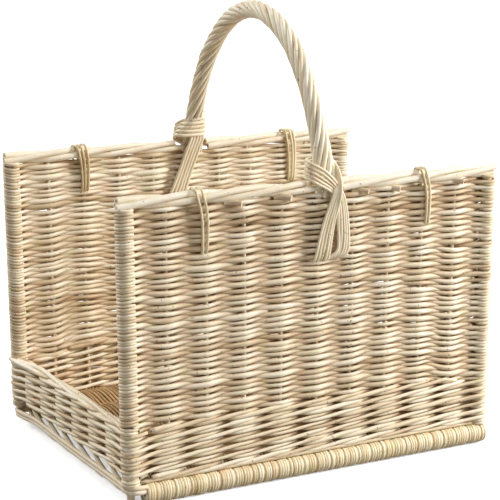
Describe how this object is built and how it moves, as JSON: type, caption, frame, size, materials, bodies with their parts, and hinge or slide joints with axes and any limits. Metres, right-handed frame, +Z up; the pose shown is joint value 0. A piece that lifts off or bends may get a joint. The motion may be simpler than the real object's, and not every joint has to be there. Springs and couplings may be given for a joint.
{
  "type": "log basket",
  "caption": "Open-ended woven willow basket for carrying logs, with tall side walls, low ends, bound runners and a fixed roped bow handle.",
  "frame": {"origin": "on the floor, under the middle of the basket", "axes": "+Z up; X along the tall walls, through the open ends; -Y towards the front wall"},
  "size_m": [0.5812, 0.424, 0.6355],
  "materials": {
    "woven_willow": "peeled white willow rods, satin",
    "stout_willow": "thick peeled willow rods, satin",
    "floor_willow": "peeled willow rods, a little darker, matt",
    "split_cane": "split cane, glossy outside",
    "handle_willow": "fine peeled willow rods, roped, satin"
  },
  "bodies": {
    "root": {"back_handle_collar": "handle_willow", "back_inner_lashing": "handle_willow", "back_outer_lashing": "handle_willow", "back_rail_left": "stout_willow", "back_rail_right": "stout_willow", "back_runner_binding": "split_cane", "back_runner_core": "stout_willow", "back_stake_1": "stout_willow", "back_stake_2": "stout_willow", "back_stake_3": "stout_willow", "back_stake_4": "stout_willow", "back_stake_5": "stout_willow", "back_stake_6": "stout_willow", "back_stake_7": "stout_willow", "back_stake_8": "stout_willow", "back_stake_9": "stout_willow", "back_tie_left": "split_cane", "back_tie_right": "split_cane", "back_wall_weave": "woven_willow", "base_stick_1": "floor_willow", "base_stick_2": "floor_willow", "base_stick_3": "floor_willow", "base_stick_4": "floor_willow", "base_stick_5": "floor_willow", "base_weave": "floor_willow", "corner_post_back_left": "stout_willow", "corner_post_back_right": "stout_willow", "corner_post_front_left": "stout_willow", "corner_post_front_right": "stout_willow", "front_handle_collar": "handle_willow", "front_inner_lashing": "handle_willow", "front_outer_lashing": "handle_willow", "front_rail_left": "stout_willow", "front_rail_right": "stout_willow", "front_runner_binding": "split_cane", "front_runner_core": "stout_willow", "front_stake_1": "stout_willow", "front_stake_2": "stout_willow", "front_stake_3": "stout_willow", "front_stake_4": "stout_willow", "front_stake_5": "stout_willow", "front_stake_6": "stout_willow", "front_stake_7": "stout_willow", "front_stake_8": "stout_willow", "front_stake_9": "stout_willow", "front_tie_left": "split_cane", "front_tie_right": "split_cane", "front_wall_weave": "woven_willow", "handle_bow": "handle_willow", "handle_roping": "handle_willow", "left_end_rim": "stout_willow", "left_foot_border": "stout_willow", "right_end_rim": "stout_willow", "right_foot_border": "stout_willow", "tray_band_back": "woven_willow", "tray_band_front": "woven_willow", "tray_band_left": "woven_willow", "tray_band_right": "woven_willow"}
  },
  "joints": []
}
